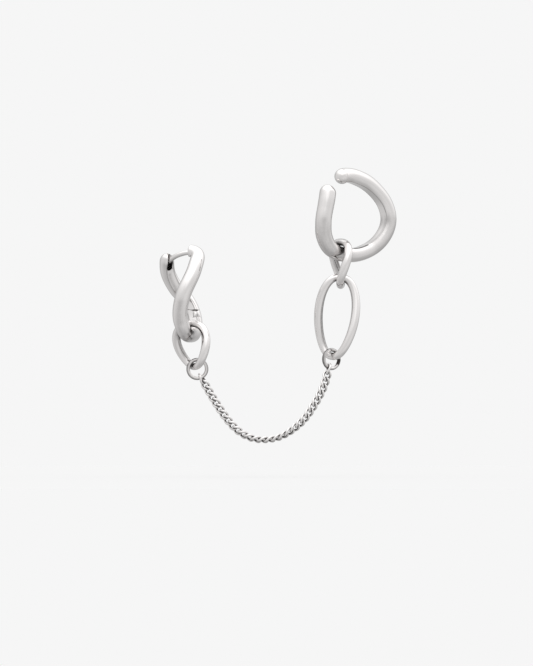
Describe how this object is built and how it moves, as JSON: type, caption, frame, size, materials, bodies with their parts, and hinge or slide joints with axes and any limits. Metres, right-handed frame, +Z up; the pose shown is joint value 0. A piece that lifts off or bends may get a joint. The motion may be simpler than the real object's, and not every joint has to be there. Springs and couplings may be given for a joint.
{
  "type": "ear chain earring",
  "caption": "Ear chain: a hinged twisted hoop for the lobe, a fine chain hung in a curve, and an open ear cuff with an oval link, in polished silvery metal.",
  "frame": {"origin": "middle of the ear post, where it goes through the ear lobe", "axes": "+Z up as worn and as pictured; -Y towards the viewer; +X from the lobe hoop to the ear cuff"},
  "size_m": [0.0396, 0.0129, 0.0459],
  "materials": {
    "silver": "polished, silvery white",
    "post_steel": "satin"
  },
  "bodies": {
    "earring": {"hoop_front": "silver", "hinge_pin": "post_steel", "lobe_link": "silver", "jump_ring_left": "silver", "chain_link_01": "silver", "chain_link_02": "silver", "chain_link_03": "silver", "chain_link_04": "silver", "chain_link_05": "silver", "chain_link_06": "silver", "chain_link_07": "silver", "chain_link_08": "silver", "chain_link_09": "silver", "chain_link_10": "silver", "chain_link_11": "silver", "chain_link_12": "silver", "chain_link_13": "silver", "chain_link_14": "silver", "chain_link_15": "silver", "chain_link_16": "silver", "chain_link_17": "silver", "chain_link_18": "silver", "chain_link_19": "silver", "chain_link_20": "silver", "chain_link_21": "silver", "chain_link_22": "silver", "chain_link_23": "silver", "chain_link_24": "silver", "chain_link_25": "silver", "chain_link_26": "silver", "chain_link_27": "silver", "chain_link_28": "silver", "chain_link_29": "silver", "jump_ring_right": "silver", "oval_link": "silver", "cuff_link": "silver", "ear_cuff": "silver"},
    "lever": {"hoop_lever": "silver"}
  },
  "joints": [
    {"name": "lever_hinge", "type": "hinge", "parent": "earring", "child": "lever", "pos_m": [0.00252, 0.00356, -0.01009], "axis": [-0.9659, -0.2588, 0], "range_deg": [0, 45]}
  ]
}
